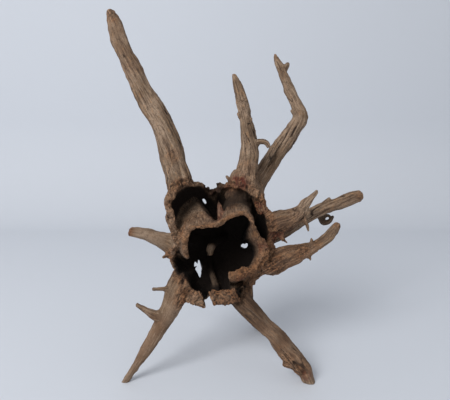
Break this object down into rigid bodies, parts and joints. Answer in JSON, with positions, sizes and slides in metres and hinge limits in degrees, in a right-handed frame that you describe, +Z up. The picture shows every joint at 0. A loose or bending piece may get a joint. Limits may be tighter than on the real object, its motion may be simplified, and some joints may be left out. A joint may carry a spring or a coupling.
{
  "type": "driftwood root",
  "caption": "Hollow weathered stump crown with broken roots reaching out all round, standing on the ends of its lower roots.",
  "frame": {"origin": "on the surface that the wood stands on, under the middle of its bounding box", "axes": "+Z up, +Y away from the open side of the hollow, +X to the right for someone who looks into the hollow"},
  "size_m": [0.4249, 0.2176, 0.5891],
  "materials": {
    "driftwood": "weathered, bare and matt, with dry grain and rotted edges"
  },
  "bodies": {
    "root": {"driftwood": "driftwood"}
  },
  "joints": []
}
